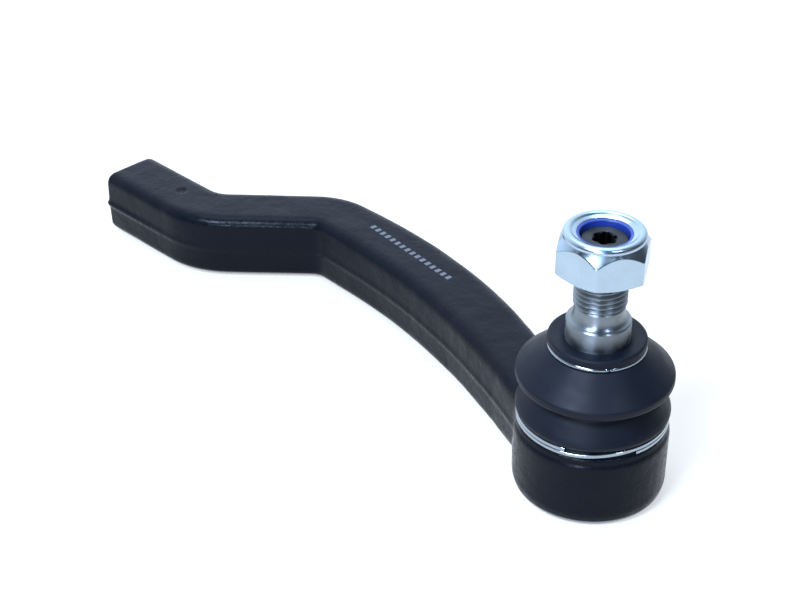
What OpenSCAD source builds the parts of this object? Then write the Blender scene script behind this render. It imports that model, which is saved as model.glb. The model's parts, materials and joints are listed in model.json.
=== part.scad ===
// Outer tie rod end: a forged socket on a cranked arm, with a ball stud, a rubber boot and a lock nut.
// Frame: +Z up the stud, the threaded end of the arm towards -X, z = 0 on the base of the socket.

/* [Socket] */
// Outside radius of the socket
cup_r = 17.9; // [16.9:0.1:19]
// Height of the socket up to the step below the boot
cup_h = 17.2; // [16.9:0.1:17.4]
// Radius of the ball
ball_r = 9; // [8.5:0.1:9.2]
// Height of the centre of the ball
ball_z = 13; // [12.9:0.1:13.2]
// Outside radius of the two ball seats
seat_r = 11.55; // [11.2:0.05:11.7]
// Half angle of the flared mouth that the stud swings in
mouth_angle = 24; // [22:0.5:25]

/* [Arm] */
// Height of the arm, from its lower face to its upper face
arm_h = 18.4; // [16:0.2:18.6]
// Width of the upper and lower faces of the arm
arm_face_w = 14.6; // [12:0.2:16]
// Width of the arm at the parting line of the forging
arm_w = 17.8; // [16.8:0.2:20]
// Distance from the stud axis to the threaded end
arm_reach = 175; // [165:1:190]
// Sideways offset of the crank in the arm
arm_offset = 24.2; // [18:0.1:28]
// Radius of the tapped hole in the end of the arm
tap_r = 6.25; // [5:0.05:6.5]
// Depth of the tapped hole
tap_depth = 26; // [15:1:28]

/* [Stud] */
// Radius of the plain seat of the stud
stud_r = 7.3; // [7:0.1:7.6]
// Radius of the stud's thread
thread_r = 6; // [5.8:0.1:6]
// Height where the plain seat ends
stud_seat_z = 45.3; // [44:0.1:46]
// Height where the thread starts
thread_z = 48.9; // [48.5:0.1:50]
// Height of the free end of the stud
stud_top_z = 65.5; // [64:0.5:67]
// Width across the lobes of the drive socket in the end of the stud
drive_w = 5.6; // [5:0.1:7]

/* [Nut] */
// Width across the flats of the lock nut
nut_af = 19; // [18:0.5:20]
// Height of the lower face of the lock nut
nut_z = 57.6; // [57.4:0.1:59]
// Height of the hexagon, up to the top of its flats
hex_h = 8; // [7.5:0.1:8.1]
// Height of the whole nut with its collar
nut_h = 10.1; // [10:0.1:10.6]
// Radial gap between the nut and the thread
thread_gap = 0.03; // [0.01:0.01:0.08]

/* [Boot] */
// Radius of the rim of the boot's upper fold
boot_r = 17.9; // [17.5:0.1:18.5]
// Thickness of the rubber
boot_wall = 1.6; // [1.2:0.1:2]
// Height of the top of the boot
boot_top_z = 41; // [40.5:0.1:41.5]
// Radius of the wire of the upper ring
wire_r = 0.55; // [0.4:0.05:0.7]

/* [Hidden] */
$fn = 96;
eps = 0.01;
fit = 0.05;              // gap between pieces that slide on each other

seat_gap = 0.02;         // gap between the ball and its seats
cavity_r = seat_r + fit;
shoulder_z = 18.9;       // roof of the cavity, above the upper seat
neck_top_z = 22.6;       // top of the socket, inside the boot
bead_z = 18.8;           // lower edge of the groove for the bead of the boot
bead_h = 2.2;
bead_r = 15.6;           // floor of that groove
lip_r = 16.1;            // lip above the groove

plate_z = 0.9;           // underside of the closure plate's rim
plate_h = 2.5;
plate_r = 14.2;
rim_bore_r = 13;         // opening inside the rolled rim
boss_r = 9;              // flat boss in the middle of the closure plate
seal_r = 12.9;           // centre line of the closure seal
seal_wire_r = 0.75;
seal_z = plate_z + plate_h + seal_wire_r;
lower_seat_z = 5.6;
flat_z = 6.5;            // flat on the underside of the ball

mouth_z = ball_z + 4.2;  // where the flare of the mouth starts
mouth_r = 8;

neck_r = 5.5;            // waist of the stud above the ball
neck_z = 25;             // top of that waist
cone_z = 35;             // top of the cone, where the boot's lip grips the stud
land_z = 41.1;           // top of that land, where the plain seat starts
land_r = 6.8;
groove_r = 5.65;         // relief between the seat and the thread
groove_z = 47.6;
drive_depth = 4.2;

chamfer_h = 2;           // how far the cone on top of the hexagon cuts down its corners
collar_r = 9.1;          // rounded collar on top of the nut
roll_r = 1.1;            // rounding of that collar
insert_r = 7.6;          // pocket for the nylon insert
insert_z = nut_z + 7.3;
insert_h = 2.3;

ring_low_z = 19.1;       // lower ring of the boot
ring_low_h = 2;
ring_low_r = 17.5;
ring_seat_r = 16.6;
ring_up_z = 38.5;
ring_up_r = 10.65;       // centre line of the wire of the upper ring
collar_seat_r = ring_up_r - wire_r;
crease = [14.5, 27.6];   // fold between the lower and upper bulges of the boot
rim_z = 31.1;
rim_r = 1.3;

// Corners of the arm's centre line, each with the radius that rounds it off
arm_corners = [[-6, -3.7], [-60.2, arm_offset - 1.7], [-113.4, arm_offset], [-140.4, 0], [-arm_reach, 0]];
arm_radii = [0, 183, 13, 16.5, 0];
// Width of the arm along its length, as a share of its width at the threaded end
arm_waist = [[-113, 1], [-85, 1.055], [-55, 1.05], [-35, 0.98], [-20, 0.86], [-6, 0.82]];
arm_z = arm_h / 2;
edge_r = 3;              // rounding of the four long edges of the arm

function unit(v) = v / norm(v);
function turn(a, b) = atan2(a.x * b.y - a.y * b.x, a * b);

// Points of an arc that rounds the corner b between a and c, as [x, y, heading]
function corner_arc(a, b, c, r, n) =
    let (u = unit(b - a), v = unit(c - b), t = turn(u, v), side = t < 0 ? -1 : 1,
         start = b - u * r * tan(abs(t) / 2), mid = start + r * side * [-u.y, u.x],
         from = atan2(u.y, u.x))
    [for (i = [0:n]) let (h = from + t * i / n) concat(mid + r * side * [sin(h), -cos(h)], h)];

// The whole centre line, as [x, y, heading]
function heading(a, b) = atan2(b.y - a.y, b.x - a.x);
function arm_line(p, r) = [
    concat(p[0], heading(p[0], p[1])),
    for (i = [1:len(p) - 2]) each corner_arc(p[i - 1], p[i], p[i + 1], r[i], i == 1 ? 12 : 8),
    concat(p[len(p) - 1], heading(p[len(p) - 2], p[len(p) - 1]))
];

// Cross-section of the arm: drafted sides that meet at the parting line, and four rounded edges
function quarter_edge(n) =
    let (draft = atan2((arm_w - arm_face_w) / 2, arm_h / 2), c = [arm_face_w / 2 - 1.6, arm_h / 2 - edge_r])
    [for (i = [0:n]) let (a = -draft + (90 + draft) * i / n) c + edge_r * [cos(a), sin(a)]];
function arm_section() =
    let (q = quarter_edge(5), n = len(q) - 1)
    [[arm_w / 2, 0], each q, for (i = [n:-1:0]) [-q[i].x, q[i].y],
     [-arm_w / 2, 0], for (p = q) [-p.x, -p.y], for (i = [n:-1:0]) [q[i].x, -q[i].y]];

module sweep(line, section) {
    m = len(section);
    n = len(line);
    points = [for (p = line) for (s = section) let (side = s.x * lookup(p.x, arm_waist))
        [p.x - side * sin(p[2]), p.y + side * cos(p[2]), arm_z + s.y]];
    sides = [for (i = [0:n - 2]) for (j = [0:m - 1]) let (k = (j + 1) % m)
        each [[i * m + j, (i + 1) * m + k, i * m + k], [i * m + j, (i + 1) * m + j, (i + 1) * m + k]]];
    far = (n - 1) * m;
    ends = [for (j = [1:m - 2]) each [[0, j, j + 1], [far, far + j + 1, far + j]]];
    polyhedron(points, concat(sides, ends));
}

module ring(inner, outer, z, h) {
    translate([0, 0, z]) difference() {
        cylinder(r = outer, h = h);
        translate([0, 0, -eps]) cylinder(r = inner, h = h + 2 * eps);
    }
}

module torus(r, wire, z) {
    translate([0, 0, z]) rotate_extrude() translate([r, 0]) circle(r = wire, $fn = 48);
}

// The flared mouth that the stud swings in, above the ball
module mouth() {
    h = neck_top_z - mouth_z + 1;
    translate([0, 0, mouth_z]) cylinder(r1 = mouth_r, r2 = mouth_r + h * tan(mouth_angle), h = h);
}

module socket_outside() {
    rotate_extrude() polygon([
        [0, 0], [16.4, 0], [17.1, 0.7], [17.5, 1.6], [cup_r, 3.2], [cup_r, cup_h - 0.6], [17.3, cup_h],
        [17.3, bead_z], [bead_r, bead_z], [bead_r, bead_z + bead_h], [lip_r, bead_z + bead_h],
        [lip_r, neck_top_z - 1], [lip_r - 1.4, neck_top_z], [0, neck_top_z]]);
}

module forged_housing() {
    color("#2b3038") difference() {
        union() {
            socket_outside();
            sweep(arm_line(arm_corners, arm_radii), arm_section());
        }
        translate([0, 0, -1]) cylinder(r = rim_bore_r, h = plate_z + 2);
        translate([0, 0, plate_z]) cylinder(r = plate_r + fit, h = plate_h);
        ring(seal_r - 1.3, seal_r + 0.9, plate_z + plate_h - eps, 2 * seal_wire_r + 0.1);
        translate([0, 0, plate_z]) cylinder(r = cavity_r, h = shoulder_z - plate_z);
        mouth();
        translate([-arm_reach - 1, 0, arm_z]) rotate([0, 90, 0]) cylinder(r = tap_r, h = tap_depth + 1);
        translate([-arm_reach - eps, 0, arm_z]) rotate([0, 90, 0])
            cylinder(r1 = tap_r + 0.9, r2 = tap_r - 0.1, h = 1);
    }
}

module upper_ball_seat() {
    color("#e9e6da") difference() {
        translate([0, 0, ball_z + 0.1]) cylinder(r = seat_r, h = shoulder_z - ball_z - 0.1);
        translate([0, 0, ball_z]) sphere(r = ball_r + seat_gap);
        mouth();
    }
}

module lower_ball_seat() {
    color("#e9e6da") difference() {
        translate([0, 0, lower_seat_z]) cylinder(r = seat_r, h = ball_z - lower_seat_z);
        translate([0, 0, ball_z]) sphere(r = ball_r + seat_gap);
    }
}

module preload_spring() {
    z = plate_z + plate_h;
    color("#8f959a") rotate_extrude()
        polygon([[10.4, z], [10.6, z + 0.9], [5.9, lower_seat_z], [5.7, lower_seat_z - 0.9]]);
}

module closure_plate() {
    color("#aab1b6") {
        difference() {
            union() {
                translate([0, 0, plate_z]) cylinder(r = plate_r, h = plate_h);
                cylinder(r1 = boss_r, r2 = boss_r + 0.9, h = plate_z + eps);
            }
            translate([0, 0, 1.8]) cylinder(r = 5.2, h = plate_h);
        }
    }
}

module closure_seal() {
    color("#1b1d20") torus(seal_r, seal_wire_r, seal_z);
}

// Six lobes around a core, as a hexalobular driver needs
module drive_socket() {
    lobe_r = drive_w * 0.135;
    translate([0, 0, stud_top_z - drive_depth]) {
        cylinder(r = drive_w * 0.39, h = drive_depth + 1);
        for (i = [0:5]) rotate([0, 0, i * 60]) translate([drive_w / 2 - lobe_r, 0, 0])
            cylinder(r = lobe_r, h = drive_depth + 1, $fn = 32);
    }
}

module ball_stud() {
    base = ball_z + 6;
    color("#87919a") difference() {
        union() {
            difference() {
                translate([0, 0, ball_z]) sphere(r = ball_r);
                translate([0, 0, flat_z - 10]) cube([20, 20, 20], center = true);
            }
            translate([0, 0, base]) cylinder(r = neck_r, h = neck_z - base);
            translate([0, 0, neck_z]) cylinder(r1 = neck_r, r2 = land_r, h = cone_z - neck_z);
            translate([0, 0, cone_z]) cylinder(r = land_r, h = land_z - cone_z);
            translate([0, 0, land_z]) cylinder(r = stud_r, h = stud_seat_z - land_z);
            translate([0, 0, stud_seat_z]) cylinder(r1 = stud_r, r2 = groove_r, h = groove_z - stud_seat_z);
            translate([0, 0, groove_z]) cylinder(r = groove_r, h = thread_z - groove_z);
            translate([0, 0, thread_z]) cylinder(r = thread_r, h = stud_top_z - 1.1 - thread_z);
            translate([0, 0, stud_top_z - 1.1]) cylinder(r1 = thread_r, r2 = thread_r - 1.1, h = 1.1);
        }
        drive_socket();
    }
}

// Half section of the boot: the outside goes up, and the inside comes down
module boot_section() {
    w = boot_wall;
    bead_top = bead_z + bead_h - fit;
    ring_top = ring_low_z + ring_low_h + fit;
    polygon([
        [bead_r + fit, bead_z + 0.1], [17, bead_z + 0.1], [17, ring_low_z - fit], [ring_seat_r, ring_low_z - fit],
        [ring_seat_r, ring_top], [17.2, ring_top], [17.55, ring_top + 0.5], [17.65, ring_top + 1.1],
        [17.4, ring_top + 1.8], [16.4, 24.8], [14.9, 26.8], crease, [14.9, 28.4], [16.6, 29.7],
        for (a = [-60:20:60]) [boot_r - rim_r + rim_r * cos(a), rim_z + rim_r * sin(a)],
        [12, 37.1], [11.3, ring_up_z - wire_r - fit], [collar_seat_r - fit, ring_up_z - wire_r - fit],
        [collar_seat_r - fit, ring_up_z + wire_r + fit], [11.15, ring_up_z + wire_r + fit],
        [11.15, boot_top_z - 0.7], [10.4, boot_top_z], [stud_r + 1.2, boot_top_z - 0.25],
        [land_r + fit, boot_top_z - 0.6], [land_r + fit, 36.9], [land_r + 0.7, 36], [9.3, 36], [11.2, 35.2],
        [15.2, 31.7], [15, 30.6], [13.4, 29.4], [12.7, 27.6], [13.4, 25.8], [14.6, 24.4],
        [15.6, 23.2], [lip_r + 0.25, 21.9], [lip_r + 0.25, bead_top], [bead_r + fit, bead_top]]);
}

module dust_boot() {
    color("#22262c") rotate_extrude() boot_section();
}

module upper_boot_ring() {
    color("#c6ccd0") torus(ring_up_r, wire_r, ring_up_z);
}

// Flat strip wound twice around the bead, with a small gap between its turns
module lower_boot_ring() {
    turn_h = (ring_low_h - 0.2) / 2;
    color("#c6ccd0") difference() {
        ring(ring_seat_r + fit, ring_low_r, ring_low_z, ring_low_h);
        ring(ring_low_r - 0.4, ring_low_r + 1, ring_low_z + turn_h, 0.2);
    }
}

module lock_nut() {
    corner_r = nut_af / sqrt(3);
    pocket_top = insert_z + insert_h + fit;
    color("#b4cede") difference() {
        union() {
            intersection() {
                translate([0, 0, nut_z]) cylinder(r = corner_r, h = hex_h, $fn = 6);
                union() {
                    translate([0, 0, nut_z]) cylinder(r1 = nut_af / 2 - 0.4, r2 = corner_r + eps, h = 1);
                    translate([0, 0, nut_z + 1 - eps]) cylinder(r = corner_r + eps, h = hex_h - 1 - chamfer_h);
                    translate([0, 0, nut_z + hex_h - chamfer_h - eps])
                        cylinder(r1 = corner_r + eps, r2 = nut_af / 2, h = chamfer_h + eps);
                }
            }
            translate([0, 0, nut_z + hex_h - eps]) cylinder(r1 = nut_af / 2, r2 = collar_r - 0.2, h = 0.8);
            translate([0, 0, nut_z + hex_h]) cylinder(r = collar_r - 0.2, h = 2);
            translate([0, 0, nut_z + nut_h - 2 * roll_r]) cylinder(r = collar_r - roll_r, h = 2 * roll_r);
            torus(collar_r - roll_r, roll_r, nut_z + nut_h - roll_r);
        }
        translate([0, 0, nut_z - 1]) cylinder(r = thread_r + thread_gap, h = nut_h + 2);
        translate([0, 0, nut_z - eps]) cylinder(r1 = thread_r + 0.6, r2 = thread_r, h = 0.6);
        translate([0, 0, insert_z]) cylinder(r = insert_r, h = insert_h + fit);
        translate([0, 0, pocket_top - eps]) cylinder(r = insert_r - 1, h = 2);
    }
}

module nylon_insert() {
    color("#2f4fa8") ring(thread_r + thread_gap, insert_r - 0.02, insert_z + 0.02, insert_h);
}

forged_housing();
upper_ball_seat();
lower_ball_seat();
preload_spring();
closure_plate();
closure_seal();
ball_stud();
dust_boot();
upper_boot_ring();
lower_boot_ring();
lock_nut();
nylon_insert();
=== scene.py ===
"""Looks of an outer tie rod end, built round its packed frame: a painted forging, a turned ball stud
with a cut thread, a rubber boot held by two steel rings, and a zinc plated lock nut with a nylon insert."""

import json
import math

import bpy
import numpy as np
from mathutils import Matrix, Vector, noise


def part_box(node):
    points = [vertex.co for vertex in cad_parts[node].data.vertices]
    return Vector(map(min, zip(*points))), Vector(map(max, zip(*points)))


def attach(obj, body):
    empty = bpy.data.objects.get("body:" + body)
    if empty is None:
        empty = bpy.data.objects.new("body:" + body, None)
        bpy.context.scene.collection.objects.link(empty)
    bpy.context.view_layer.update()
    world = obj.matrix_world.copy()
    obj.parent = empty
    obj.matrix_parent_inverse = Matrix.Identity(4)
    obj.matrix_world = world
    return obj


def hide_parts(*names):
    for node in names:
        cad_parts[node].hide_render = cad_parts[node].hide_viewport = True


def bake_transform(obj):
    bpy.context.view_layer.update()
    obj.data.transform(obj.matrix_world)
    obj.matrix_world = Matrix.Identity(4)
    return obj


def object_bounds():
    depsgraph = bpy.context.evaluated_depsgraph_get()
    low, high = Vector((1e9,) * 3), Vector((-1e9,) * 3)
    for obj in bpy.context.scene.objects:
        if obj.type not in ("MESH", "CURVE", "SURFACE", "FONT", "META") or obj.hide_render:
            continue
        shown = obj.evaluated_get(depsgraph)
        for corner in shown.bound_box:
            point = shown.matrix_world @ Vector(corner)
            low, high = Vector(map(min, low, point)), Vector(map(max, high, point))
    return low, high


bl_info = {
    "name": "Tie Rod End",
    "version": (1, 0, 0),
    "blender": (4, 5, 0),
    "location": "3D View > Sidebar > Tie Rod End",
    "description": "Builds the forging, stud, boot and nut of a tie rod end round its frame",
    "category": "Add Mesh",
}

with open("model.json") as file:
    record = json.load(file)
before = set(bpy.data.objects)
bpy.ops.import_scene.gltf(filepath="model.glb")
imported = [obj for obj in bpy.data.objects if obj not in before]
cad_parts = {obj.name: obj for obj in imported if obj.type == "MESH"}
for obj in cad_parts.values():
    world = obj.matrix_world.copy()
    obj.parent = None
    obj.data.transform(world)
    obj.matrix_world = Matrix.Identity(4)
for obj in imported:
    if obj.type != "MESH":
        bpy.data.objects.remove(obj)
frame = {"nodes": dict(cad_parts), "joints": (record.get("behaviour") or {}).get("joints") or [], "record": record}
CAD_BOX = [list(corner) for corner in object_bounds()]
MM = 0.001
TURN = 2 * math.pi

# Heights and radii that the frame gives
SOCKET_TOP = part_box("lower_boot_ring")[0].z
SOCKET_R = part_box("forged_housing")[1].x
BALL_Z = frame["joints"][0]["pos_m"][2]
STUD_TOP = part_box("ball_stud")[1].z
NUT_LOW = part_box("lock_nut")[0].z
NUT_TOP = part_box("lock_nut")[1].z
NUT_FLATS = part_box("lock_nut")[1].y * 2
BOOT_LOW, BOOT_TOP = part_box("dust_boot")[0].z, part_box("dust_boot")[1].z
ARM_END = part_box("forged_housing")[0].x
ARM_MID_Z = next(m for m in frame["record"]["mounts"] if m["name"] == "rod_thread")["pos_m"][2]
ARM_TOP = 2 * ARM_MID_Z
THREAD_PITCH = frame["record"]["behaviour"]["couplings"][0]["ratio"] * TURN

# Places and proportions that are this script's own
ETCH_MIDDLE = (-80.8 * MM, 22.5 * MM, 0)
ETCH_TURN = math.radians(-8)
DOT_SPOT = (-151.5 * MM, 0.8 * MM)
THREAD_DEPTH = 0.6134  # depth of an outer metric thread over its pitch
HEX_CORNER = 0.1547  # how far a hexagon's corners stand beyond its flats, over half the flats


def length(value, name, description, low=0.0, high=0.3):
    """A size in metres for a settings group."""
    return bpy.props.FloatProperty(
        name=name, description=description, default=value, min=low, max=high,
        unit="LENGTH", precision=5,
    )


def linear(code):
    """Linear colour of an sRGB hex value."""
    parts = [int(code[i:i + 2], 16) / 255 for i in (1, 3, 5)]
    return [c / 12.92 if c <= 0.04045 else ((c + 0.055) / 1.055) ** 2.4 for c in parts]


def colour(code, name, description):
    """A colour for a settings group, given as an sRGB hex value."""
    return bpy.props.FloatVectorProperty(
        name=name, description=description, subtype="COLOR", size=3, min=0, max=1,
        default=linear(code),
    )


class ForgingSettings(bpy.types.PropertyGroup):
    """Sizes of the forged housing."""

    grain: length(0.45 * MM, "Grain", "Spacing of the points on the forging's skin", 0.0002, 0.002)
    flash_h: length(0.32 * MM, "Flash height", "Height of the trimmed flash on the parting line")
    flash_w: length(0.8 * MM, "Flash width", "Half width of the trimmed flash")
    waviness: length(0.10 * MM, "Waviness", "Depth of the unevenness that the hammer leaves")
    tap_r: length(7.0 * MM, "Tapped radius", "Outer radius of the thread in the arm")
    tap_pitch: length(1.5 * MM, "Tapped pitch", "Pitch of the thread in the arm", 0.0005, 0.003)
    tap_depth: length(25 * MM, "Tapped depth", "Depth of the thread in the arm")
    etch_pitch: length(
        1.1 * MM, "Etched step", "Half the step from dash to dash of the etched row", 0.0003, 0.01)
    etch_length: length(36 * MM, "Etched length", "Length of the etched row")
    etch_width: length(1.7 * MM, "Etched width", "Height of the dashes of the etched row")
    dot_r: length(1.7 * MM, "Stamped dot", "Radius of the stamped dot near the arm's end")
    dot_depth: length(0.45 * MM, "Stamped depth", "Depth of the stamped dot")
    paint: colour("#0a0d13", "Paint", "Black electrophoretic paint")
    etch: colour("#60656b", "Etched", "Pale grey where a laser has etched the paint")
    bare: colour("#8a9299", "Bare steel", "Bright steel where a tool has cut the paint away")


class StudSettings(bpy.types.PropertyGroup):
    """Sizes of the ball stud."""

    ball_r: length(9 * MM, "Ball radius", "Radius of the ball")
    seat_r: length(7.3 * MM, "Seat radius", "Radius of the plain seat")
    seat_top: length(45.3 * MM, "Seat top", "Height where the plain seat ends")
    thread_r: length(6 * MM, "Thread radius", "Outer radius of the thread")
    thread_low: length(48.9 * MM, "Thread start", "Height where the thread starts")
    drive_w: length(5.5 * MM, "Drive width", "Width across the lobes of the drive socket")
    drive_depth: length(4.2 * MM, "Drive depth", "Depth of the drive socket")
    steel: colour("#82898e", "Steel", "Turned and hardened steel")


class BootSettings(bpy.types.PropertyGroup):
    """Sizes of the boot and its rings."""

    wire_r: length(0.55 * MM, "Wire radius", "Radius of the upper ring's wire")
    split_z: length(28.9 * MM, "Split height", "Height where the boot's two halves meet")
    rubber: colour("#0d121b", "Rubber", "Carbon-filled rubber")
    ring: colour("#98a3ab", "Ring", "Bright zinc on spring steel")


class NutSettings(bpy.types.PropertyGroup):
    """Sizes of the lock nut."""

    hex_h: length(8 * MM, "Hexagon height", "Height of the hexagon, up to the top of its flats")
    chamfer_h: length(2 * MM, "Chamfer height", "How far the cone on top cuts down the corners")
    collar_r: length(9.1 * MM, "Collar radius", "Radius of the rolled collar")
    insert_r: length(7.6 * MM, "Insert radius", "Radius of the pocket for the insert")
    insert_bore: length(5.45 * MM, "Insert bore", "Bore of the nylon insert, a little under the thread")
    insert_h: length(2.2 * MM, "Insert height", "Height of the insert")
    zinc: colour("#a6b8c5", "Zinc", "Blue-white passivated zinc")
    nylon: colour("#16307c", "Nylon", "Blue nylon")


class StudioSettings(bpy.types.PropertyGroup):
    """Camera, floor and light."""

    target: bpy.props.FloatVectorProperty(
        name="Target", description="Point that the camera looks at", subtype="XYZ", unit="LENGTH",
        default=(-34.05 * MM, -27.77 * MM, 47.2 * MM),
    )
    distance: length(350.2 * MM, "Distance", "From the camera to its target", 0.1, 2)
    azimuth: bpy.props.FloatProperty(
        name="Azimuth", description="Camera's azimuth, in degrees", default=45.24
    )
    elevation: bpy.props.FloatProperty(
        name="Elevation", description="Camera's height above the horizon, in degrees", default=32.81
    )
    roll: bpy.props.FloatProperty(name="Roll", description="Camera's roll, in degrees", default=-0.45)
    lens: bpy.props.FloatProperty(name="Lens", description="Focal length, in millimetres", default=71.1)
    floor: colour("#b7b0a6", "Floor", "Pale matt floor")


SETTINGS = {
    "rod_end_forging": ForgingSettings,
    "rod_end_stud": StudSettings,
    "rod_end_boot": BootSettings,
    "rod_end_nut": NutSettings,
    "rod_end_studio": StudioSettings,
}


# ---------------------------------------------------------------------------------------------------
# Mesh tools


def rounded(corners, step=math.radians(12)):
    """A profile through corners of (radius, height, fillet), with each fillet drawn as an arc."""
    points = []
    for i, (r, z, fillet) in enumerate(corners):
        here = np.array([r, z])
        if not fillet or i in (0, len(corners) - 1):
            points.append(here)
            continue
        back = np.array(corners[i - 1][:2]) - here
        ahead = np.array(corners[i + 1][:2]) - here
        u, v = back / np.linalg.norm(back), ahead / np.linalg.norm(ahead)
        half = math.acos(np.clip(u @ v, -1, 1)) / 2
        reach = min(fillet / math.tan(half), 0.49 * np.linalg.norm(back), 0.49 * np.linalg.norm(ahead))
        radius = reach * math.tan(half)
        middle = here + (u + v) / np.linalg.norm(u + v) * radius / math.sin(half)
        a = math.atan2(*(here + u * reach - middle)[::-1])
        sweep = (math.atan2(*(here + v * reach - middle)[::-1]) - a + math.pi) % TURN - math.pi
        n = max(2, math.ceil(abs(sweep) / step))
        points += [middle + radius * np.array([math.cos(a + sweep * k / n), math.sin(a + sweep * k / n)])
                   for k in range(n + 1)]
    return np.array(points)


def resampled(profile, spacing):
    """The same profile with no step longer than spacing."""
    out = [profile[0]]
    for a, b in zip(profile, profile[1:]):
        n = max(1, math.ceil(np.linalg.norm(b - a) / spacing))
        out += [a + (b - a) * k / n for k in range(1, n + 1)]
    return np.array(out)


def turned(profile, columns):
    """Grid of points from a profile turned about the stud axis."""
    angle = np.arange(columns) * TURN / columns
    r, z = profile[:, 0, None], profile[:, 1, None]
    return np.stack([r * np.cos(angle), r * np.sin(angle), z + 0 * angle], -1)


def skin(name, grid, ends, material, sharp=40):
    """A closed skin over a grid of points whose columns wrap round.

    Its rows join up, or end in poles or in flat faces.
    """
    rows, columns = grid.shape[:2]
    verts = [tuple(p) for p in grid.reshape(-1, 3)]
    index = np.arange(rows * columns).reshape(rows, columns)
    faces = []
    for i in range(rows if ends == "joined" else rows - 1):
        low, high = index[i], index[(i + 1) % rows]
        for j in range(columns):
            k = (j + 1) % columns
            faces.append((low[j], low[k], high[k], high[j]))
    if ends == "poles":
        for ring, flip in ((index[0], True), (index[-1], False)):
            pole = len(verts)
            verts.append(tuple(np.mean([verts[k] for k in ring], axis=0)))
            for j in range(columns):
                tri = (ring[j], ring[(j + 1) % columns], pole)
                faces.append(tri[::-1] if flip else tri)
    elif ends == "flat":
        faces += [tuple(index[0][::-1]), tuple(index[-1])]
    mesh = bpy.data.meshes.new(name)
    mesh.from_pydata(verts, [], [tuple(int(k) for k in f) for f in faces])
    return finished(name, mesh, material, sharp)


def finished(name, mesh, material, sharp=40):
    """A shaded object from a mesh: outward normals, and smooth faces but for edges sharper than an angle."""
    mesh.validate()
    obj = bpy.data.objects.new(name, mesh)
    bpy.context.scene.collection.objects.link(obj)
    volume = signed_volume(mesh)
    if volume < 0:
        mesh.flip_normals()
    mesh.polygons.foreach_set("use_smooth", [True] * len(mesh.polygons))
    mesh.set_sharp_from_angle(angle=math.radians(sharp))
    mesh.materials.append(material)
    return obj


def signed_volume(mesh):
    """Volume inside a closed mesh, negative when its faces look inwards."""
    mesh.calc_loop_triangles()
    tris = np.zeros(len(mesh.loop_triangles) * 3, int)
    mesh.loop_triangles.foreach_get("vertices", tris)
    p = coordinates(mesh)[tris].reshape(-1, 3, 3)
    return float(np.einsum("ij,ij->i", p[:, 0], np.cross(p[:, 1], p[:, 2])).sum() / 6)


def coordinates(mesh):
    """Places of a mesh's points, one row each."""
    co = np.zeros(len(mesh.vertices) * 3)
    mesh.vertices.foreach_get("co", co)
    return co.reshape(-1, 3)


def relaxed(co, edges, weight, rounds):
    """Points moved towards the middle of their neighbours, by a weight each, several times over."""
    count = np.bincount(edges.ravel(), minlength=len(co))[:, None]
    for _ in range(rounds):
        total = np.zeros_like(co)
        for k in range(3):
            total[:, k] = np.bincount(edges[:, 0], co[edges[:, 1], k], len(co))
            total[:, k] += np.bincount(edges[:, 1], co[edges[:, 0], k], len(co))
        co = co + weight[:, None] * (total / count - co)
    return co


def helix_phase(z, angle, pitch):
    """Place on a right-hand thread, 0 at a crest and 1 at the next."""
    return (z / pitch - angle / TURN) % 1


def thread_depth(phase, crest=0.12, root=0.2):
    """Depth below the crest as a share of the thread's depth, with flat crests and rounded roots."""
    away = np.abs(phase - np.round(phase)) * 2
    rise = np.clip((away - crest) / (1 - crest - root), 0, 1)
    return rise * rise * (3 - 2 * rise) * 0.5 + rise * 0.5


def smoothstep(x, low, high):
    """0 up to low, 1 from high on, and a smooth rise between them."""
    t = np.clip((x - low) / (high - low), 0, 1)
    return t * t * (3 - 2 * t)


# ---------------------------------------------------------------------------------------------------
# Materials


def add(tree, kind, inputs=None, **settings):
    """Adds a node; an input is a value, or a socket to link from."""
    made = tree.nodes.new(kind)
    for key, value in settings.items():
        setattr(made, key, value)
    for key, value in (inputs or {}).items():
        if isinstance(value, bpy.types.NodeSocket):
            tree.links.new(value, made.inputs[key])
        else:
            made.inputs[key].default_value = value
    return made


def finish_named(name, base, metallic, roughness, **extra):
    """A new material with its shader set, ready for its pattern: (material, tree, shader, place)."""
    material = bpy.data.materials.new(name)
    material.use_nodes = True
    tree = material.node_tree
    tree.nodes.clear()
    shader = add(tree, "ShaderNodeBsdfPrincipled", {
        "Base Color": (*base, 1), "Metallic": metallic, "Roughness": roughness,
        **{key.replace("_", " "): value for key, value in extra.items()}})
    out = add(tree, "ShaderNodeOutputMaterial")
    tree.links.new(shader.outputs[0], out.inputs[0])
    place = add(tree, "ShaderNodeTexCoord").outputs["Object"]
    return material, tree, shader, place


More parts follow.
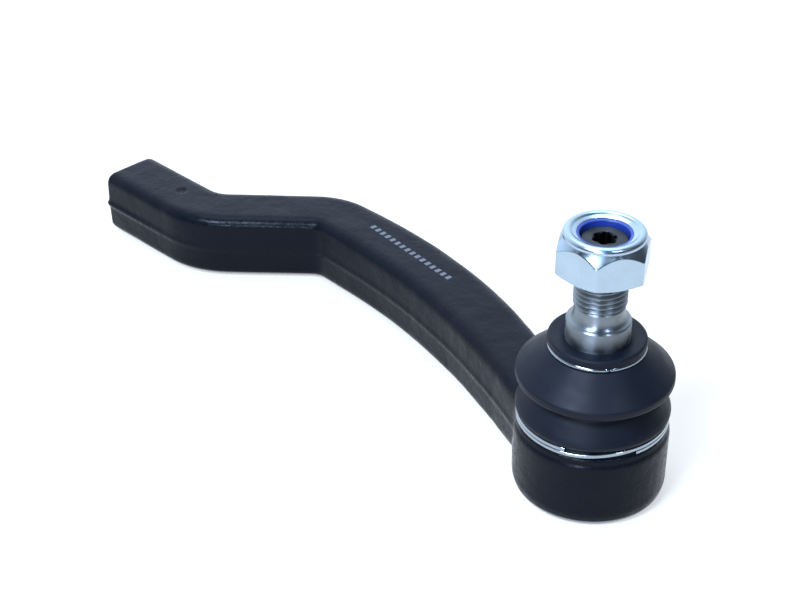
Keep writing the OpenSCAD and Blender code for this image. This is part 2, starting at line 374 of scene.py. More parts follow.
def painted_forging():
    """Hot-forged steel, shot blasted and dipped in black electrophoretic paint: a satin skin that follows
    every dent of the scale below it, so highlights break up into sparkle along the rounded edges. A row of
    etched dashes lies on the arm's top face, and a tool has cut the paint from the socket's lowest edge."""
    s = bpy.context.scene.rod_end_forging
    material, tree, shader, place = finish_named(
        "painted_forging", s.paint, 0.0, 0.3, IOR=1.5, Specular_IOR_Level=0.08)
    wide = add(tree, "ShaderNodeTexNoise", {"Vector": place, "Scale": 1 / (9 * MM)}).outputs["Fac"]
    peel = add(tree, "ShaderNodeTexNoise", {"Vector": place, "Scale": 1 / (1.3 * MM)}).outputs["Fac"]
    # Blasted scale is finer than this; it is drawn at 0.5 mm so that it shows.
    grit = add(tree, "ShaderNodeTexNoise", {"Vector": place, "Scale": 1 / (0.5 * MM)}).outputs["Fac"]
    height = add(tree, "ShaderNodeSeparateXYZ", {"Vector": place}).outputs["Z"]
    rim = add(tree, "ShaderNodeMapRange", {
        "Value": height, "From Min": 1.2 * MM, "From Max": 1.6 * MM,
        "To Min": 1.0, "To Max": 0.0}).outputs[0]
    # The etched row has its own axes: X along the row and Y across it, from its middle.
    row = add(tree, "ShaderNodeMapping", {
        "Vector": place, "Location": ETCH_MIDDLE, "Rotation": (0, 0, ETCH_TURN)}, vector_type="TEXTURE")
    spot = add(tree, "ShaderNodeSeparateXYZ", {"Vector": row.outputs[0]})
    along, across = spot.outputs["X"], spot.outputs["Y"]
    ends = add(tree, "ShaderNodeMath", {0: along}, operation="ABSOLUTE").outputs[0]
    sides = add(tree, "ShaderNodeMath", {0: across}, operation="ABSOLUTE").outputs[0]
    step = add(tree, "ShaderNodeMath", {0: along, 1: s.etch_pitch}, operation="PINGPONG").outputs[0]
    etched = 1.0
    for value, limit, test in (
        (ends, s.etch_length / 2, "LESS_THAN"),
        (sides, s.etch_width / 2, "LESS_THAN"),
        (step, s.etch_pitch * 0.45, "GREATER_THAN"),
        (height, ARM_TOP - 1.5 * MM, "GREATER_THAN"),
    ):
        inside = add(tree, "ShaderNodeMath", {0: value, 1: limit}, operation=test).outputs[0]
        etched = add(tree, "ShaderNodeMath", {0: etched, 1: inside}, operation="MULTIPLY").outputs[0]
    paint = add(tree, "ShaderNodeMix", {
        "Factor": wide, 6: (*s.paint, 1), 7: (*(c * 1.5 for c in s.paint), 1)}, data_type="RGBA").outputs[2]
    marked = add(tree, "ShaderNodeMix", {
        "Factor": etched, 6: paint, 7: (*s.etch, 1)}, data_type="RGBA").outputs[2]
    bared = add(tree, "ShaderNodeMix", {
        "Factor": rim, 6: marked, 7: (*s.bare, 1)}, data_type="RGBA").outputs[2]
    tree.links.new(bared, shader.inputs["Base Color"])
    gloss = add(tree, "ShaderNodeMapRange", {
        "Value": peel, "From Min": 0.3, "From Max": 0.7, "To Min": 0.18, "To Max": 0.38}).outputs[0]
    tree.links.new(gloss, shader.inputs["Roughness"])
    tree.links.new(rim, shader.inputs["Metallic"])
    dents = add(tree, "ShaderNodeBump", {"Height": wide, "Distance": 0.35 * MM})
    orange = add(tree, "ShaderNodeBump", {
        "Height": peel, "Distance": 0.055 * MM, "Normal": dents.outputs[0]})
    scale = add(tree, "ShaderNodeBump", {
        "Height": grit, "Distance": 0.008 * MM, "Normal": orange.outputs[0]})
    tree.links.new(scale.outputs[0], shader.inputs["Normal"])
    return material


def turned_steel(name, base, roughness, ring_gap, dull_above=1.0, hole_r=0.0):
    """Medium carbon steel finished on a lathe: bright metal with faint rings where the tool passed.
    Above a height, if one is given, the metal is a darker grey, and inside a hole about the stud axis it is
    painted near black, as shade in the hole."""
    # The rings run round the axis, so they stretch a highlight along it.
    material, tree, shader, place = finish_named(
        name, base, 1.0, roughness, Anisotropic=0.8, Anisotropic_Rotation=0.25)
    round_about = add(tree, "ShaderNodeTangent", direction_type="RADIAL", axis="Z")
    tree.links.new(round_about.outputs[0], shader.inputs["Tangent"])
    height = add(tree, "ShaderNodeSeparateXYZ", {"Vector": place}).outputs["Z"]
    # A lathe's feed is finer than ring_gap; the rings are drawn this coarse so that they show.
    rings = add(tree, "ShaderNodeTexNoise", {"W": height, "Scale": 1 / ring_gap}, noise_dimensions="1D")
    blotch = add(tree, "ShaderNodeTexNoise", {"Vector": place, "Scale": 1 / (3 * MM)}).outputs["Fac"]
    dull = add(tree, "ShaderNodeMath", {0: height, 1: dull_above}, operation="GREATER_THAN").outputs[0]
    metal = add(tree, "ShaderNodeMix", {
        "Factor": blotch, 6: (*(c * 0.82 for c in base), 1), 7: (*(min(1, c * 1.12) for c in base), 1)},
        data_type="RGBA").outputs[2]
    shade = add(tree, "ShaderNodeMix", {
        "Factor": dull, 6: metal, 7: (*(c * 0.2 for c in base), 1)}, data_type="RGBA").outputs[2]
    # Painted shade: inside the drive socket the metal is painted near black.
    flat_place = add(tree, "ShaderNodeVectorMath", {
        0: place, 1: (1, 1, 0)}, operation="MULTIPLY").outputs[0]
    reach = add(tree, "ShaderNodeVectorMath", {0: flat_place}, operation="LENGTH").outputs["Value"]
    in_hole = add(tree, "ShaderNodeMath", {0: reach, 1: hole_r}, operation="LESS_THAN").outputs[0]
    painted_hole_shade = add(tree, "ShaderNodeMix", {
        "Factor": in_hole, 6: shade, 7: (*(c * 0.04 for c in base), 1)}, data_type="RGBA").outputs[2]
    tree.links.new(painted_hole_shade, shader.inputs["Base Color"])
    gloss = add(tree, "ShaderNodeMapRange", {
        "Value": blotch, "From Min": 0.3, "From Max": 0.7,
        "To Min": roughness * 0.8, "To Max": roughness * 1.25}).outputs[0]
    tree.links.new(gloss, shader.inputs["Roughness"])
    cut = add(tree, "ShaderNodeBump", {"Height": rings.outputs["Fac"], "Distance": 0.006 * MM})
    tree.links.new(cut.outputs[0], shader.inputs["Normal"])
    return material


def zinc_plated_steel():
    """Cold-formed steel with blue-white passivated zinc: a smooth cool mirror, slightly cloudy."""
    s = bpy.context.scene.rod_end_nut
    material, tree, shader, place = finish_named("zinc_plated_steel", s.zinc, 1.0, 0.2)
    cloud = add(tree, "ShaderNodeTexNoise", {"Vector": place, "Scale": 1 / (4 * MM)}).outputs["Fac"]
    # The plating's specks are finer than this; they are drawn at 0.5 mm so that they show.
    speck = add(tree, "ShaderNodeTexNoise", {"Vector": place, "Scale": 1 / (0.5 * MM)}).outputs["Fac"]
    metal = add(tree, "ShaderNodeMix", {
        "Factor": cloud, 6: (*(c * 0.88 for c in s.zinc), 1), 7: (*(min(1, c * 1.1) for c in s.zinc), 1)},
        data_type="RGBA").outputs[2]
    tree.links.new(metal, shader.inputs["Base Color"])
    gloss = add(tree, "ShaderNodeMapRange", {
        "Value": cloud, "From Min": 0.3, "From Max": 0.7, "To Min": 0.17, "To Max": 0.30}).outputs[0]
    tree.links.new(gloss, shader.inputs["Roughness"])
    soft = add(tree, "ShaderNodeBump", {"Height": cloud, "Distance": 0.05 * MM})
    fine = add(tree, "ShaderNodeBump", {"Height": speck, "Distance": 0.005 * MM, "Normal": soft.outputs[0]})
    tree.links.new(fine.outputs[0], shader.inputs["Normal"])
    return material


def moulded_nylon():
    """Injection moulded polyamide 6, dyed blue: waxy, with a soft broad highlight."""
    s = bpy.context.scene.rod_end_nut
    material, tree, shader, place = finish_named("moulded_nylon", s.nylon, 0.0, 0.38, IOR=1.53)
    mottle = add(tree, "ShaderNodeTexNoise", {"Vector": place, "Scale": 1 / (1.5 * MM)}).outputs["Fac"]
    dye = add(tree, "ShaderNodeMix", {
        "Factor": mottle, 6: (*(c * 0.85 for c in s.nylon), 1), 7: (*(c * 1.2 for c in s.nylon), 1)},
        data_type="RGBA").outputs[2]
    tree.links.new(dye, shader.inputs["Base Color"])
    wax = add(tree, "ShaderNodeBump", {"Height": mottle, "Distance": 0.02 * MM})
    tree.links.new(wax.outputs[0], shader.inputs["Normal"])
    return material


def moulded_rubber():
    """Compression moulded chloroprene, filled with carbon black: matt, with the fine grain of the mould."""
    s = bpy.context.scene.rod_end_boot
    material, tree, shader, place = finish_named(
        "moulded_rubber", s.rubber, 0.0, 0.46, IOR=1.52, Specular_IOR_Level=0.14)
    cloud = add(tree, "ShaderNodeTexNoise", {"Vector": place, "Scale": 1 / (6 * MM)}).outputs["Fac"]
    # The mould's spark-eroded grain is finer than this; it is drawn at 0.5 mm so that it shows.
    grain = add(tree, "ShaderNodeTexNoise", {"Vector": place, "Scale": 1 / (0.5 * MM)}).outputs["Fac"]
    black = add(tree, "ShaderNodeMix", {
        "Factor": cloud, 6: (*(c * 0.85 for c in s.rubber), 1), 7: (*(c * 1.2 for c in s.rubber), 1)},
        data_type="RGBA").outputs[2]
    tree.links.new(black, shader.inputs["Base Color"])
    gloss = add(tree, "ShaderNodeMapRange", {
        "Value": cloud, "From Min": 0.3, "From Max": 0.7, "To Min": 0.40, "To Max": 0.54}).outputs[0]
    tree.links.new(gloss, shader.inputs["Roughness"])
    soft = add(tree, "ShaderNodeBump", {"Height": cloud, "Distance": 0.06 * MM})
    fine = add(tree, "ShaderNodeBump", {"Height": grain, "Distance": 0.014 * MM, "Normal": soft.outputs[0]})
    tree.links.new(fine.outputs[0], shader.inputs["Normal"])
    return material


def moulded_acetal():
    """Injection moulded acetal, uncoloured: smooth ivory plastic."""
    material, tree, shader, place = finish_named("moulded_acetal", linear("#e6e2d4"), 0.0, 0.35, IOR=1.48)
    ripple = add(tree, "ShaderNodeTexNoise", {"Vector": place, "Scale": 1 / (2 * MM)}).outputs["Fac"]
    skin_bump = add(tree, "ShaderNodeBump", {"Height": ripple, "Distance": 0.02 * MM})
    tree.links.new(skin_bump.outputs[0], shader.inputs["Normal"])
    return material


# ---------------------------------------------------------------------------------------------------
# Pieces


class BuildForging(bpy.types.Operator):
    """Forged housing: the packed shape with a fine skin, fillets and trimmed flash, and its tapped end"""

    bl_idname = "rod_end.build_forging"
    bl_label = "Build the forging"

    def execute(self, context):
        s = context.scene.rod_end_forging
        obj = bpy.data.objects.new("housing_forging", frame["nodes"]["forged_housing"].data.copy())
        context.scene.collection.objects.link(obj)
        remesh = obj.modifiers.new("Skin", "REMESH")
        remesh.mode = "VOXEL"
        remesh.voxel_size = s.grain
        mesh = bpy.data.meshes.new_from_object(obj.evaluated_get(context.evaluated_depsgraph_get()))
        bpy.data.objects.remove(obj)
        co = coordinates(mesh)
        edges = np.zeros(len(mesh.edges) * 2, int)
        mesh.edges.foreach_get("vertices", edges)
        edges = edges.reshape(-1, 2)
        # The whole skin is smoothed a little, and the arm's root much more, so that a fillet leads into it.
        from_axis = np.hypot(co[:, 0], co[:, 1])
        in_arm = smoothstep(-co[:, 0], SOCKET_R * 0.6, SOCKET_R * 0.9)
        root = in_arm * (1 - smoothstep(from_axis, SOCKET_R + 1 * MM, SOCKET_R + 9 * MM))
        co = relaxed(co, edges, 0.15 + 0.35 * in_arm, 6)
        co = relaxed(co, edges, 0.5 * root * (co[:, 2] < SOCKET_TOP), 60)
        mesh.vertices.foreach_set("co", co.ravel())
        normals = np.zeros(len(co) * 3)
        mesh.vertices.foreach_get("normal", normals)
        normals = normals.reshape(-1, 3)
        # The arm's outside gets its trimmed flash along the parting line and the hammer's unevenness.
        outside = in_arm * smoothstep(from_axis, SOCKET_R - 2 * MM, SOCKET_R)
        bore = np.hypot(co[:, 1], co[:, 2] - ARM_MID_Z)
        in_bore = (bore < s.tap_r + 0.2 * MM) & (co[:, 0] < ARM_END + s.tap_depth + 3 * MM)
        outside = np.where(in_bore, 0, outside)
        side = 1 - np.abs(normals[:, 2])
        near_end = 1 - smoothstep(co[:, 0], ARM_END + 8 * MM, ARM_END + 38 * MM)
        flash = np.exp(-((co[:, 2] - ARM_MID_Z) / s.flash_w) ** 2) * side * (0.75 + near_end)
        wave = np.array([noise.noise(Vector(p) / (11 * MM)) for p in co])
        co = co + normals * (outside * (s.flash_h * flash + s.waviness * wave))[:, None]
        off_dot = np.hypot(co[:, 0] - DOT_SPOT[0], co[:, 1] - DOT_SPOT[1])
        on_top = (normals[:, 2] > 0.8) * (co[:, 2] > ARM_MID_Z * 1.5)
        dot = (1 - smoothstep(off_dot, s.dot_r * 0.55, s.dot_r)) * on_top
        co[:, 2] -= s.dot_depth * dot
        # The bore is widened to make room for the sleeve that carries its thread.
        spread = np.where(in_bore & (bore > 5 * MM), (s.tap_r + 0.25 * MM) / np.maximum(bore, 1e-6), 1)
        co[:, 1] *= spread
        co[:, 2] = ARM_MID_Z + (co[:, 2] - ARM_MID_Z) * spread
        co[:, 2] = np.maximum(co[:, 2], 0)
        mesh.vertices.foreach_set("co", co.ravel())
        mesh.materials.clear()
        made = finished("housing_forging", mesh, painted_forging(), 60)
        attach(made, "housing")
        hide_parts("forged_housing")
        self.tapped_end(s)
        return {"FINISHED"}

    def tapped_end(self, s):
        """The cut thread inside the arm, as a sleeve that lines the bore."""
        columns, per_turn = 96, 10
        root, crest = s.tap_r + 0.02 * MM, s.tap_r - 0.76 * MM
        along = np.arange(0.9 * MM, s.tap_depth, s.tap_pitch / per_turn)
        angle = np.arange(columns) * TURN / columns
        phase = helix_phase(along[:, None], angle[None], s.tap_pitch)
        inner = crest + (root - crest) * (1 - thread_depth(phase))
        wall = s.tap_r + 0.3 * MM
        radii = [np.full(columns, wall), np.full(columns, wall - 0.15 * MM), *inner,
                 np.full(columns, crest), np.full(columns, wall)]
        depth = [0.35 * MM, 0.1 * MM, *along, s.tap_depth + 0.1 * MM, s.tap_depth + 0.1 * MM]
        grid = np.array([[(ARM_END + d, r[j] * math.cos(angle[j]), ARM_MID_Z + r[j] * math.sin(angle[j]))
                          for j in range(columns)] for r, d in zip(radii, depth)])
        steel = turned_steel("tapped_steel", linear("#6f777d"), 0.35, 0.5 * MM)
        sleeve = skin("arm_thread", grid, "joined", steel, 50)
        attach(sleeve, "housing")


class BuildStud(bpy.types.Operator):
    """Ball stud, with its cut thread and the hexalobular socket in its end"""

    bl_idname = "rod_end.build_stud"
    bl_label = "Build the ball stud"

    def execute(self, context):
        s = context.scene.rod_end_stud
        columns = 144
        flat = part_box("ball_stud")[0].z
        low = math.acos((BALL_Z - flat) / s.ball_r)
        throat = 5.5 * MM
        high = math.pi - math.asin(throat / s.ball_r)
        ball = [(s.ball_r * math.sin(a), BALL_Z - s.ball_r * math.cos(a))
                for a in np.linspace(low, high, 40)]
        neck = 5.72 * MM
        fillet_r, fillet_h = 1.25 * MM, 2.2 * MM
        fillet_z = s.seat_top + 0.1 * MM
        shank = rounded([
            (ball[-1][0], ball[-1][1], 0), (throat, 25 * MM, 3 * MM),
            (s.seat_r - 0.1 * MM, 35 * MM, 2 * MM),
            (s.seat_r, 37 * MM, 0), (s.seat_r, s.seat_top - 0.25 * MM, 0.1 * MM),
            (s.seat_r - 0.3 * MM, s.seat_top + 0.05 * MM, 0)])
        fillet = [(neck + fillet_r * (1 - math.cos(a)), fillet_z + fillet_h * (1 - math.sin(a)))
                  for a in np.linspace(math.pi / 2, 0, 14)]
        shank = np.vstack([shank, fillet, [(neck, s.thread_low - 0.5 * MM)]])
        body = resampled(np.vstack([ball, shank[1:]]), 0.8 * MM)
        chamfer = 1.1 * MM
        along = np.arange(s.thread_low - 0.4 * MM, STUD_TOP - chamfer * 0.1, THREAD_PITCH / 12)
        angle = np.arange(columns) * TURN / columns
        turns = helix_phase(along[:, None], angle[None], THREAD_PITCH)
        cut = thread_depth(turns) * THREAD_DEPTH * THREAD_PITCH
        fade = smoothstep(along, s.thread_low - 0.2 * MM, s.thread_low + 1.0 * MM)[:, None]
        core = neck * (1 - fade) + (s.thread_r - cut) * fade
        top = np.minimum(core, s.thread_r + (STUD_TOP - chamfer - along)[:, None])
        lobes = 0.5 * s.drive_w * (1 - 0.105 * (1 - np.cos(6 * angle)))
        rows = [np.stack([np.full(columns, r), np.full(columns, z)], -1) for r, z in body]
        rows += [np.stack([r, np.full(columns, z)], -1) for r, z in zip(top, along)]
        face = s.thread_r - chamfer
        for r, z in ((face, STUD_TOP), (0.6 * face + 0.4 * lobes, STUD_TOP), (lobes + 0.15 * MM, STUD_TOP),
                     (lobes, STUD_TOP - 0.15 * MM), (lobes, STUD_TOP - 0.5 * s.drive_depth),
                     (lobes, STUD_TOP - s.drive_depth), (lobes * 0.5, STUD_TOP - s.drive_depth - 0.4 * MM)):
            rows.append(np.stack([r + 0 * angle, z + 0 * angle], -1))
        rows = np.array(rows)
        grid = np.stack([rows[..., 0] * np.cos(angle), rows[..., 0] * np.sin(angle), rows[..., 1]], -1)
        dull_above, hole_r = STUD_TOP - 0.6 * MM, s.drive_w / 2 + 0.05 * MM
        steel = turned_steel("turned_steel", s.steel, 0.38, 0.35 * MM, dull_above, hole_r)
        stud = skin("stud_turned", grid, "poles", steel, 35)
        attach(stud, "stud")
        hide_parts("ball_stud")
        return {"FINISHED"}


class BuildBoot(bpy.types.Operator):
    """Dust boot in two halves that meet above its crease"""

    bl_idname = "rod_end.build_boot"
    bl_label = "Build the dust boot"

    def execute(self, context):
        s = context.scene.rod_end_boot
        stud_r = context.scene.rod_end_stud.seat_r
        ring_low, ring_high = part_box("lower_boot_ring")[0].z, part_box("lower_boot_ring")[1].z
        wire_low, wire_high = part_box("upper_boot_ring")[0].z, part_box("upper_boot_ring")[1].z
        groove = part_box("upper_boot_ring")[1].x - 2 * s.wire_r
        outside = rounded([
            (15.65 * MM, BOOT_LOW, 0), (17.0 * MM, BOOT_LOW, 0.2 * MM), (16.6 * MM, ring_low, 0.05 * MM),
            (16.6 * MM, ring_high + 0.02 * MM, 0.05 * MM), (17.35 * MM, ring_high + 0.1 * MM, 0.35 * MM),
            (17.8 * MM, 22.2 * MM, 0.9 * MM), (17.25 * MM, 23.4 * MM, 1.5 * MM),
            (15.6 * MM, 26.0 * MM, 4 * MM), (14.35 * MM, 27.7 * MM, 0.5 * MM),
            (16.3 * MM, 29.3 * MM, 1.6 * MM), (18.0 * MM, 30.2 * MM, 1.0 * MM),
            (17.95 * MM, 31.9 * MM, 1.0 * MM), (14.8 * MM, 34.8 * MM, 7 * MM),
            (12.1 * MM, 37.1 * MM, 1.3 * MM),
            (11.25 * MM, wire_low, 0.15 * MM), (groove, wire_low + 0.1 * MM, 0.4 * MM),
            (groove, wire_high - 0.1 * MM, 0.4 * MM), (11.15 * MM, wire_high, 0.15 * MM),
            (11.15 * MM, BOOT_TOP, 0.7 * MM), (stud_r + 1.2 * MM, BOOT_TOP - 0.35 * MM, 1.2 * MM),
            (stud_r + 0.05 * MM, BOOT_TOP - 0.75 * MM, 0)], math.radians(8))
        inside = rounded([
            (stud_r + 0.05 * MM, 36.9 * MM, 0), (stud_r + 0.7 * MM, 36.0 * MM, 0.2 * MM),
            (9.3 * MM, 36.0 * MM, 0.8 * MM), (11.2 * MM, 35.2 * MM, 1.0 * MM),
            (15.3 * MM, 31.7 * MM, 0.6 * MM), (15.0 * MM, 30.5 * MM, 0.6 * MM),
            (12.8 * MM, 28.6 * MM, 0.8 * MM), (13.0 * MM, 26.6 * MM, 1.2 * MM),
            (14.6 * MM, 24.4 * MM, 1.5 * MM), (16.35 * MM, 21.9 * MM, 0.5 * MM),
            (16.35 * MM, 20.95 * MM, 0.1 * MM),
            (15.65 * MM, 20.95 * MM, 0)], math.radians(15))
        rubber = moulded_rubber()
        outside, inside = resampled(outside, 0.7 * MM), resampled(inside, 1.0 * MM)
        lower = self.half(outside, inside, s.split_z, False)
        upper = self.half(outside, inside, s.split_z, True)
        for name, profile, a, b, start, end in (
            ("boot_lower", lower, "housing", "boot", ring_high + 0.3 * MM, s.split_z),
            ("boot_upper", upper, "boot", "boot_collar", s.split_z, 36.6 * MM),
        ):
            piece = skin(name, turned(profile, 160), "joined", rubber, 50)
            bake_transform(piece)
            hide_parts("dust_boot")
        return {"FINISHED"}

    def half(self, outside, inside, split, upper):
        """The boot's section above or below split, with short rows at the cut that keep its shading."""
        cut_out, cut_in = self.cross(outside, split), self.cross(inside, split)
        if upper:
            keep_out, keep_in = outside[outside[:, 1] > split], inside[inside[:, 1] > split]
            rows = [cut_out, cut_out + 0.03 * (keep_out[0] - cut_out), *keep_out, *keep_in,
                    cut_in + 0.03 * (keep_in[-1] - cut_in), cut_in]
        else:
            keep_out, keep_in = outside[outside[:, 1] < split], inside[inside[:, 1] < split]
            rows = [*keep_out, cut_out + 0.03 * (keep_out[-1] - cut_out), cut_out,
                    cut_in, cut_in + 0.03 * (keep_in[0] - cut_in), *keep_in]
        return np.array(rows)

    def cross(self, profile, split):
        """Where a profile crosses the split height."""
        for a, b in zip(profile, profile[1:]):
            if (a[1] - split) * (b[1] - split) <= 0 and a[1] != b[1]:
                return a + (b - a) * (split - a[1]) / (b[1] - a[1])
        raise ValueError("the boot's profile never crosses its split height")


class BuildRings(bpy.types.Operator):
    """The boot's two rings: a sprung wire above, and a flat strip wound nearly twice below"""

    bl_idname = "rod_end.build_rings"
    bl_label = "Build the boot rings"

    FRONT = math.radians(-45)

    def execute(self, context):
        s = context.scene.rod_end_boot
        steel = turned_steel("bright_zinc_wire", s.ring, 0.2, 0.4 * MM)
        low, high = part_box("upper_boot_ring")
        radius, z = high.x - s.wire_r, (low.z + high.z) / 2
        gap = math.radians(1.4)
        start = self.FRONT + math.radians(8)
        turns = np.linspace(start + gap / 2, start + TURN - gap / 2, 180)
        around = np.arange(16) * TURN / 16
        grid = []
        for k, a in enumerate(turns):
            size = s.wire_r * min(1, 0.75 + 0.25 * min(k, len(turns) - 1 - k))
            loop = [(radius + size * math.cos(b), z + size * math.sin(b)) for b in around]
            grid.append([(r * math.cos(a), r * math.sin(a), h) for r, h in loop])
        wire = skin("ring_upper_wire", np.array(grid), "flat", steel)
        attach(wire, "boot_collar")
        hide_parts("upper_boot_ring")
        self.strip(steel)
        return {"FINISHED"}

    def strip(self, steel):
        """Flat strip wound nearly twice, each end lying beside the turn next to it."""
        low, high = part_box("lower_boot_ring")
        inner, outer = high.x - 0.85 * MM, high.x
        tall = (high.z - low.z) / 2 - 0.08 * MM
        start, turns = self.FRONT + math.radians(28), 1.849
        edge = 0.2 * MM
        section = rounded([
            (inner, 0, 0), (outer, 0, edge), (outer, tall, edge), (inner, tall, 0)], math.radians(30))
        grid = []
        for t in np.linspace(0, 1, 360):
            a = start + turns * TURN * t
            climb = self.step_up(t * turns) * (high.z - low.z) / 2
            grid.append([(r * math.cos(a), r * math.sin(a), low.z + climb + z) for r, z in section])
        ring = skin("ring_lower_strip", np.array(grid), "flat", steel, 30)
        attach(ring, "housing")
        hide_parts("lower_boot_ring")

    def step_up(self, turn):
        """The strip lies flat for most of a turn, then climbs to lie on its own start."""
        return float(smoothstep(turn, 0.84, 0.995))


class BuildNut(bpy.types.Operator):
    """Lock nut with a rolled collar and a thread, and the nylon insert that the collar holds"""

    bl_idname = "rod_end.build_nut"
    bl_label = "Build the lock nut"

    def execute(self, context):
        s = context.scene.rod_end_nut
        columns = 240
        angle = np.arange(columns) * TURN / columns
        flat = NUT_FLATS / 2
        hexagon = flat / np.cos((angle % (TURN / 6)) - TURN / 12)
        corner_out = flat * HEX_CORNER
        hexagon = np.minimum(hexagon, flat + corner_out - 0.1 * MM)
        rise = np.arange(0, s.hex_h + 1e-9, 0.14 * MM)
        rows = []
        for h in rise:
            cone = min(flat - 0.25 * MM + h * 2.4, flat + (s.hex_h - h) * corner_out / s.chamfer_h)
            rows.append((np.minimum(hexagon, cone), NUT_LOW + h))
        hex_top, roll = NUT_LOW + s.hex_h, 1.1 * MM
        pocket = NUT_LOW + 7.0 * MM
        middle = np.array([s.collar_r - roll, NUT_TOP - roll])
        shoulder = rounded([
            (flat, hex_top, 0), (s.collar_r - 0.2 * MM, hex_top + 0.9 * MM, 0.5 * MM),
            (s.collar_r - 0.35 * MM, hex_top + 1.3 * MM, 0.15 * MM)], math.radians(9))
        curl = [middle + roll * np.array([math.cos(a), math.sin(a)])
                for a in np.radians(np.arange(-12, 150, 9))]
        lip_r, roof = 6.12 * MM, pocket + s.insert_h + 0.04 * MM
        inner = rounded([
            (lip_r + 0.13 * MM, NUT_TOP - 0.72 * MM, 0), (lip_r, NUT_TOP - 0.8 * MM, 0.05 * MM),
            (lip_r, roof, 0), (s.insert_r, roof, 0), (s.insert_r, pocket, 0),
            (6.1 * MM, pocket, 0)], math.radians(9))
        top = resampled(np.vstack([shoulder[1:], curl, inner]), 0.4 * MM)
        rows += [(np.full(columns, r), z) for r, z in top]
        along = np.arange(pocket - 0.1 * MM, NUT_LOW + 0.55 * MM, -THREAD_PITCH / 10)
        thread_r = context.scene.rod_end_stud.thread_r + 0.04 * MM
        for z in along:
            cut = 1 - thread_depth(helix_phase(z, angle, THREAD_PITCH) + 0.5)
            rows.append((thread_r - 0.62 * MM * cut, z))
        rows.append((np.full(columns, thread_r + 0.45 * MM), NUT_LOW + 0.02 * MM))
        grid = np.array([np.stack([r * np.cos(angle), r * np.sin(angle), np.full(columns, z)], -1)
                         for r, z in rows])
        nut = skin("nut_plated", grid, "joined", zinc_plated_steel(), 32)
        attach(nut, "nut")
        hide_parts("lock_nut")
        bore, rim, foot, lid = s.insert_bore, s.insert_r - 0.05 * MM, pocket + 0.05 * MM, pocket + s.insert_h
        ring = rounded([
            (bore, pocket + 0.3 * MM, 0), (bore, lid - 0.15 * MM, 0.3 * MM), (bore + 0.5 * MM, lid, 0.2 * MM),
            (rim, lid, 0), (rim, foot, 0), (bore + 0.3 * MM, foot, 0)], math.radians(15))
        insert = skin("insert_nylon", turned(ring, 120), "joined", moulded_nylon(), 40)
        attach(insert, "insert")
        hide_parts("nylon_insert")
        return {"FINISHED"}


class FinishInside(bpy.types.Operator):
    """Gives the pieces inside the socket, and the plate that closes it, their materials"""

    bl_idname = "rod_end.finish_inside"
    bl_label = "Finish the inside pieces"

    def execute(self, context):
        acetal = moulded_acetal()
        rubber = bpy.data.materials["moulded_rubber"]
        plate = turned_steel("zinc_plated_plate", linear("#a9b3ba"), 0.3, 0.6 * MM)
        spring = turned_steel("spring_steel", linear("#5d6368"), 0.4, 0.5 * MM)
        for node, material in (
            ("upper_ball_seat", acetal), ("lower_ball_seat", acetal), ("preload_spring", spring),
            ("closure_plate", plate), ("closure_seal", rubber),
        ):
            obj = frame["nodes"][node]
            obj.data.materials.clear()
            obj.data.materials.append(material)
        return {"FINISHED"}


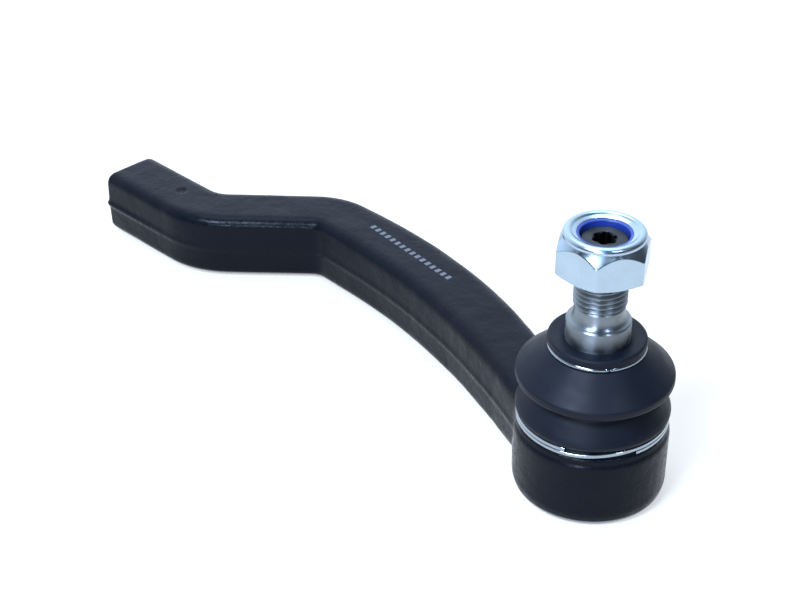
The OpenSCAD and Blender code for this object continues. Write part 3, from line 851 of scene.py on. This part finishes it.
class BuildStudio(bpy.types.Operator):
    """Pale floor, soft light and the camera"""

    bl_idname = "rod_end.build_studio"
    bl_label = "Build the studio"

    def execute(self, context):
        s = context.scene.rod_end_studio
        self.floor(s)
        self.world(context)
        middle = Vector(CAD_BOX[0]) * 0.5 + Vector(CAD_BOX[1]) * 0.5
        for name, azimuth, elevation, size, power in (
            ("light_top", 225, 75, 0.6, 4.0),
            ("light_left", 10, 50, 0.26, 11.0),
            ("light_right", 81, 45, 0.12, 2.0),
            ("light_low", 28, 18, 0.2, 3.0),
        ):
            self.area_light(name, middle, azimuth, elevation, size, power)
        self.camera(context, s)
        return {"FINISHED"}

    def floor(self, s):
        """Matt paper that glows a little, so that it stays pale in the object's shade."""
        half = 3.0
        mesh = bpy.data.meshes.new("floor")
        corners = [(-half, -half, 0), (half, -half, 0), (half, half, 0), (-half, half, 0)]
        mesh.from_pydata(corners, [], [(0, 1, 2, 3)])
        material = finish_named(
            "matt_paper", s.floor, 0.0, 0.9, Specular_IOR_Level=0.0,
            Emission_Color=(1, 1, 1, 1), Emission_Strength=0.44)[0]
        mesh.materials.append(material)
        obj = bpy.data.objects.new("floor", mesh)
        bpy.context.scene.collection.objects.link(obj)
        obj.location.z = -0.05 * MM

    def world(self, context):
        """A broad bright wall behind and to the left; the room is dim in front of it."""
        world = bpy.data.worlds.new("studio")
        world.use_nodes = True
        context.scene.world = world
        tree = world.node_tree
        tree.nodes.clear()
        ahead = add(tree, "ShaderNodeTexCoord").outputs["Generated"]
        wall = Vector((-0.82, 0.46, 0.36)).normalized()
        facing = add(tree, "ShaderNodeVectorMath", {
            0: ahead, 1: wall}, operation="DOT_PRODUCT").outputs["Value"]
        level = add(tree, "ShaderNodeMapRange", {
            "Value": facing, "From Min": 0.02, "From Max": 0.95, "To Min": 0.10, "To Max": 1.85}).outputs[0]
        back = add(tree, "ShaderNodeBackground", {"Color": (0.78, 0.92, 1.12, 1), "Strength": level})
        out = add(tree, "ShaderNodeOutputWorld")
        tree.links.new(back.outputs[0], out.inputs[0])

    def area_light(self, name, target, azimuth, elevation, size, power):
        """A square light at 0.9 m from its target, with its size in metres and its power in watts."""
        a, e = math.radians(azimuth), math.radians(elevation)
        back = Vector((math.sin(a) * math.cos(e), -math.cos(a) * math.cos(e), math.sin(e)))
        light = bpy.data.lights.new(name, "AREA")
        light.shape = "SQUARE"
        light.size = size
        light.energy = power
        light.color = (0.7, 0.86, 1.15)
        obj = bpy.data.objects.new(name, light)
        bpy.context.scene.collection.objects.link(obj)
        obj.location = target + back * 0.9
        obj.rotation_mode = "QUATERNION"
        obj.rotation_quaternion = (-back).to_track_quat("-Z", "Y")

    def camera(self, context, s):
        """The camera, and the plain view transform that keeps the colours as they are set."""
        a, e = math.radians(s.azimuth), math.radians(s.elevation)
        back = Vector((math.sin(a) * math.cos(e), -math.cos(a) * math.cos(e), math.sin(e)))
        data = bpy.data.cameras.new("camera")
        data.lens = s.lens
        data.clip_start, data.clip_end = 0.01, 20
        obj = bpy.data.objects.new("camera", data)
        context.scene.collection.objects.link(obj)
        place = Matrix.Translation(Vector(s.target) + back * s.distance)
        turn = (-back).to_track_quat("-Z", "Y").to_matrix().to_4x4()
        obj.matrix_world = place @ turn @ Matrix.Rotation(math.radians(s.roll), 4, "Z")
        context.scene.camera = obj
        context.scene.view_settings.view_transform = "Standard"


OPERATORS = (BuildForging, BuildStud, BuildBoot, BuildRings, BuildNut, FinishInside, BuildStudio)


class RodEndPanel(bpy.types.Panel):
    """Lists the pieces of the tie rod end."""

    bl_idname = "VIEW3D_PT_rod_end"
    bl_label = "Tie Rod End"
    bl_space_type = "VIEW_3D"
    bl_region_type = "UI"
    bl_category = "Tie Rod End"

    def draw(self, context):
        for operator in OPERATORS:
            self.layout.operator(operator.bl_idname)
        for name, group in SETTINGS.items():
            box = self.layout.box()
            box.label(text=group.__doc__)
            for key in group.__annotations__:
                box.prop(getattr(context.scene, name), key)


def register():
    for cls in (*SETTINGS.values(), *OPERATORS, RodEndPanel):
        bpy.utils.register_class(cls)
    for name, group in SETTINGS.items():
        setattr(bpy.types.Scene, name, bpy.props.PointerProperty(type=group))


def unregister():
    for name in SETTINGS:
        delattr(bpy.types.Scene, name)
    for cls in reversed((*SETTINGS.values(), *OPERATORS, RodEndPanel)):
        bpy.utils.unregister_class(cls)


def main():
    register()
    for operator in OPERATORS:
        group, name = operator.bl_idname.split(".")
        getattr(getattr(bpy.ops, group), name)()


if __name__ == "__main__":
    main()
